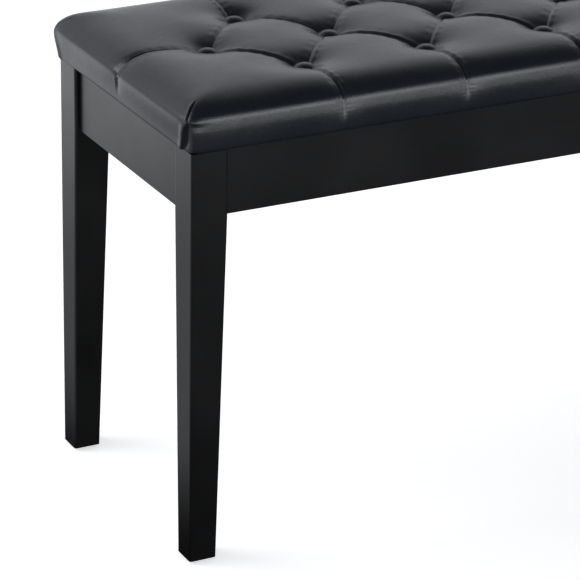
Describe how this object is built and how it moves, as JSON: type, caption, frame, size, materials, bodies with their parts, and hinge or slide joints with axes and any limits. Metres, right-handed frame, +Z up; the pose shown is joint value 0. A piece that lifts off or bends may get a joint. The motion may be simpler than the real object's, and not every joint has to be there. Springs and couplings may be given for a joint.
{
  "type": "piano bench",
  "caption": "Black piano bench with a button-tufted leather seat lid hinged at the rear over a music compartment, folding lid stays and square tapered legs.",
  "frame": {"origin": "on the floor, under the middle of the bench", "axes": "+X along the length of the bench, -Y out of its front, +Z up; the lid hinge runs along X at the rear"},
  "size_m": [0.76, 0.336, 0.502],
  "materials": {
    "black_lacquer": "satin black lacquer over hardwood",
    "block_wood": "planed bare hardwood",
    "dowel_wood": "fluted bare hardwood",
    "floor_panel": "thin plywood, painted black",
    "lid_plywood": "bare plywood",
    "foam": "open upholstery foam",
    "seat_leather": "semi-gloss black artificial leather",
    "button_leather": "semi-gloss black artificial leather",
    "dust_cloth": "thin black non-woven cloth",
    "twine": "waxed cotton twine",
    "pad_rubber": "matte black rubber",
    "bumper_rubber": "matte black rubber",
    "hinge_steel": "zinc-plated, satin",
    "stay_steel": "satin black paint",
    "rivet_steel": "zinc-plated, satin",
    "fastener_steel": "zinc-plated"
  },
  "bodies": {
    "bench_frame": {"apron_dowels": "dowel_wood", "corner_block_screws": "fastener_steel", "foot_pad_screws": "fastener_steel", "front_apron": "black_lacquer", "front_left_corner_block": "block_wood", "front_left_foot_pad": "pad_rubber", "front_left_leg": "black_lacquer", "front_right_corner_block": "block_wood", "front_right_foot_pad": "pad_rubber", "front_right_leg": "black_lacquer", "hinge_box_screws": "fastener_steel", "left_apron": "black_lacquer", "left_hinge_box_leaf": "hinge_steel", "left_hinge_pin": "hinge_steel", "left_stay_box_plate": "stay_steel", "left_stay_box_rivet": "rivet_steel", "leg_bolt_nuts": "fastener_steel", "leg_bolt_washers": "fastener_steel", "leg_bolts": "fastener_steel", "lid_bumpers": "bumper_rubber", "rear_apron": "black_lacquer", "rear_left_corner_block": "block_wood", "rear_left_foot_pad": "pad_rubber", "rear_left_leg": "black_lacquer", "rear_right_corner_block": "block_wood", "rear_right_foot_pad": "pad_rubber", "rear_right_leg": "black_lacquer", "right_apron": "black_lacquer", "right_hinge_box_leaf": "hinge_steel", "right_hinge_pin": "hinge_steel", "right_stay_box_plate": "stay_steel", "right_stay_box_rivet": "rivet_steel", "stay_box_screws": "fastener_steel", "storage_floor": "floor_panel"},
    "seat_lid": {"lid_board": "lid_plywood", "seat_foam": "foam", "seat_cover": "seat_leather", "dust_cover": "dust_cloth", "button_twine": "twine", "front_row_buttons": "button_leather", "middle_row_buttons": "button_leather", "rear_row_buttons": "button_leather", "hinge_lid_screws": "fastener_steel", "stay_lid_screws": "fastener_steel", "left_hinge_lid_leaf": "hinge_steel", "left_stay_lid_bracket": "stay_steel", "left_stay_lid_rivet": "rivet_steel", "right_hinge_lid_leaf": "hinge_steel", "right_stay_lid_bracket": "stay_steel", "right_stay_lid_rivet": "rivet_steel"},
    "left_lower_arm": {"left_stay_lower_arm": "stay_steel", "left_stay_elbow_rivet": "rivet_steel"},
    "left_upper_arm": {"left_stay_upper_arm": "stay_steel"},
    "right_lower_arm": {"right_stay_lower_arm": "stay_steel", "right_stay_elbow_rivet": "rivet_steel"},
    "right_upper_arm": {"right_stay_upper_arm": "stay_steel"}
  },
  "joints": [
    {"name": "lid_hinge", "type": "hinge", "parent": "bench_frame", "child": "seat_lid", "pos_m": [0, 0.1603, 0.4466], "axis": [-1, 0, 0], "range_deg": [0, 90]},
    {"name": "left_lower_arm_pivot", "type": "hinge", "parent": "bench_frame", "child": "left_lower_arm", "pos_m": [-0.3512, 0.064, 0.414], "axis": [-1, 0, 0], "range_deg": [0, 90]},
    {"name": "left_upper_arm_pivot", "type": "hinge", "parent": "seat_lid", "child": "left_upper_arm", "pos_m": [-0.3489, 0.054, 0.44], "axis": [-1, 0, 0], "range_deg": [-90, 0]},
    {"name": "right_lower_arm_pivot", "type": "hinge", "parent": "bench_frame", "child": "right_lower_arm", "pos_m": [0.3512, 0.064, 0.414], "axis": [-1, 0, 0], "range_deg": [0, 90]},
    {"name": "right_upper_arm_pivot", "type": "hinge", "parent": "seat_lid", "child": "right_upper_arm", "pos_m": [0.3489, 0.054, 0.44], "axis": [-1, 0, 0], "range_deg": [-90, 0]}
  ],
  "couplings": [
    {"joint": "left_lower_arm_pivot", "follows": "lid_hinge", "ratio": 1},
    {"joint": "left_upper_arm_pivot", "follows": "lid_hinge", "ratio": -1},
    {"joint": "right_lower_arm_pivot", "follows": "lid_hinge", "ratio": 1},
    {"joint": "right_upper_arm_pivot", "follows": "lid_hinge", "ratio": -1}
  ]
}
